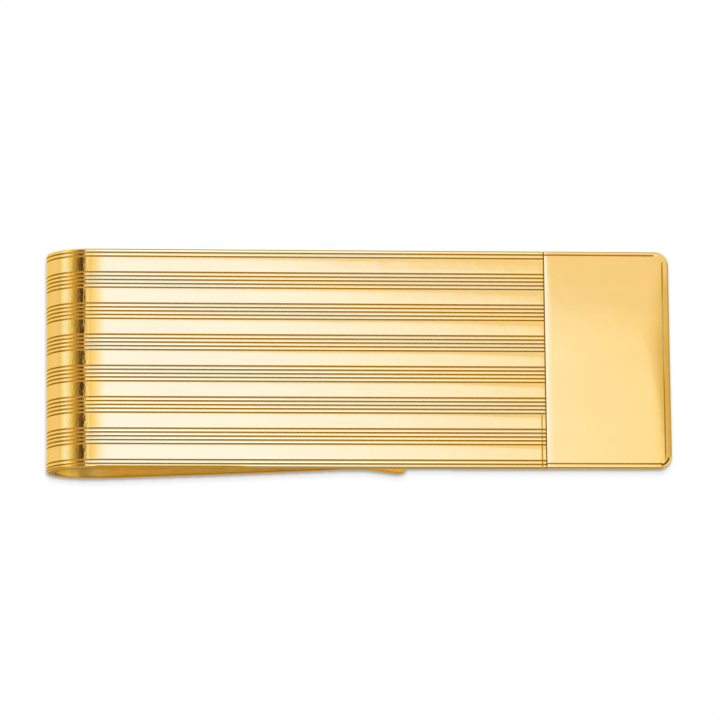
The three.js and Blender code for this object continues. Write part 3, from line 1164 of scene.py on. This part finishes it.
# walls of the tent: colour nearer the zenith, colour nearer the horizon
NEAR_WALL = ((0.32, 0.26, 0.13), (0.80, 0.67, 0.42))
FAR_WALL = ((0.44, 0.42, 0.33), (0.78, 0.64, 0.38))
BRIGHT_WALL = ((1.06, 1.12, 1.35), (0.86, 0.84, 0.80))
LEAN_MIN, LEAN_SPAN = 90.0, 200.0  # the ramps run from -90 to 110 degrees
SCALE = 5.0  # colours are stored at a fifth, to stay in a ramp's range
SKY_GAIN = 1.045
SKY_WHITE = (0.95, 0.95, 0.955, 1)  # for all but mirrored rays
# lower edge of the dim field: one slanted line above KINK, slightly steeper below
KINK = -14.5
EDGE_LEVEL, EDGE_SLOPE, STEEP_SLOPE = 13.93, 0.30, 0.36
FLAT_Y = 9.2  # lean_y that the flat faces mirror


def dimmed(color):
    return tuple(v / SCALE for v in color)


world = bpy.data.worlds.new("studio")
bpy.context.scene.world = world
world.use_nodes = True
world.cycles.sampling_method = "NONE"
sky = Graph(world.node_tree)
sky.nodes.clear()
dx, dy, dz = sky.split(sky.add("ShaderNodeTexCoord").outputs["Generated"])
lean_x = sky.math("ARCTAN2", sky.math("MULTIPLY", dx, -1.0), dz)
lean_x = sky.math("DEGREES", lean_x)
lean_y = sky.math("DEGREES", sky.math("ARCSINE", dy))
ramp_place = sky.math("DIVIDE", sky.math("ADD", lean_x, LEAN_MIN), LEAN_SPAN, clamp=True)


def field(stops):
    places = [((lean + LEAN_MIN) / LEAN_SPAN, dimmed(color)) for lean, color in stops]
    return sky.ramp(ramp_place, places)


def wall(angle, colors, low, high):
    upper, side = (rgba(dimmed(color)) for color in colors)
    return sky.mix(sky.smooth(angle, low, high), upper, side)


main_field, side_field = field(MAIN_FIELD), field(SIDE_FIELD)
level = sky.mix(sky.smooth(lean_x, low=25.5, high=25.7), main_field, side_field)

slant = sky.math("MULTIPLY_ADD", sky.math("MAXIMUM", lean_x, KINK), EDGE_SLOPE, EDGE_LEVEL)
below_kink = sky.math("MINIMUM", sky.math("ADD", lean_x, -KINK), 0.0)
steep = sky.math("MULTIPLY", below_kink, STEEP_SLOPE)
past_edge = sky.math("SUBTRACT", sky.math("SUBTRACT", lean_y, slant), steep)
beyond = sky.math(
    "MULTIPLY",
    sky.smooth(past_edge, low=-0.16, high=0.20),
    sky.smooth(lean_x, low=-8.0, high=-10.5),
)
level = sky.mix(beyond, level, field(DIM_FIELD))

wide_field = field(WIDE_FIELD)
from_flat = sky.math("SUBTRACT", lean_y, FLAT_Y)
off_flat = sky.math("ABSOLUTE", from_flat)
wide_share = sky.mix(
    sky.smooth(lean_x, low=3.0, high=8.0),
    sky.math(
        "MAXIMUM",
        sky.smooth(from_flat, low=4.8, high=7.6),
        sky.smooth(sky.math("MULTIPLY", from_flat, -1.0), low=1.6, high=4.5),
    ),
    sky.smooth(off_flat, low=9.0, high=17.0),
)
level = sky.mix(wide_share, level, wide_field)

# the near and far walls, mirrored in the strip's rounded long edges
near_wall = wall(lean_y, NEAR_WALL, low=-45.0, high=-85.0)
far_wall = wall(lean_y, FAR_WALL, low=45.0, high=85.0)
# both are bright again beyond the ends of the strip
either_x = sky.math("ABSOLUTE", lean_x)
either_y = sky.math("ABSOLUTE", lean_y)
bright_wall = wall(either_y, BRIGHT_WALL, low=15.0, high=75.0)
near_wall = sky.mix(sky.smooth(lean_x, low=-32.0, high=-50.0), near_wall, bright_wall)
far_wall = sky.mix(sky.smooth(either_x, low=28.0, high=46.0), far_wall, bright_wall)
level = sky.mix(sky.smooth(lean_y, low=-6.0, high=-18.0), level, near_wall)
level = sky.mix(sky.smooth(lean_y, low=27.0, high=40.0), level, far_wall)

scaled = sky.add("ShaderNodeVectorMath", operation="SCALE")
sky.links.new(level, scaled.inputs[0])
scaled.inputs["Scale"].default_value = SCALE * SKY_GAIN
glossy_ray = sky.add("ShaderNodeLightPath").outputs["Is Glossy Ray"]
background = sky.add("ShaderNodeBackground")
sky_tone = sky.mix(glossy_ray, SKY_WHITE, scaled.outputs[0])
sky.links.new(sky_tone, background.inputs["Color"])
world_output = sky.add("ShaderNodeOutputWorld")
sky.links.new(background.outputs[0], world_output.inputs["Surface"])

# ---------------------------------------------------------------- light
# soft key from above and a little to the far side: it only sets the table's shadow
sun_data = bpy.data.lights.new("soft_key", "SUN")
sun_data.energy = 1.6
sun_data.angle = math.radians(22)
sun = link_object("soft_key", sun_data)
sun.rotation_euler = (math.radians(-10), 0, 0)
sun.visible_glossy = False

# ---------------------------------------------------------------- camera
cam_data = bpy.data.cameras.new("camera")
cam_data.sensor_width = 36.0
cam_data.lens = 240.0
cam_data.clip_start = 0.01
cam_data.clip_end = 10.0
cam = link_object("camera", cam_data)
cam.matrix_world = Matrix(
    [[*turn, place] for turn, place in zip(CAMERA_TURN, CAMERA_PLACE)] + [[0, 0, 0, 1]]
)

scene = bpy.context.scene
scene.camera = cam
scene.view_settings.view_transform = "Standard"
scene.view_settings.look = "None"
scene.view_settings.exposure = 0.0
scene.view_settings.gamma = 1.0
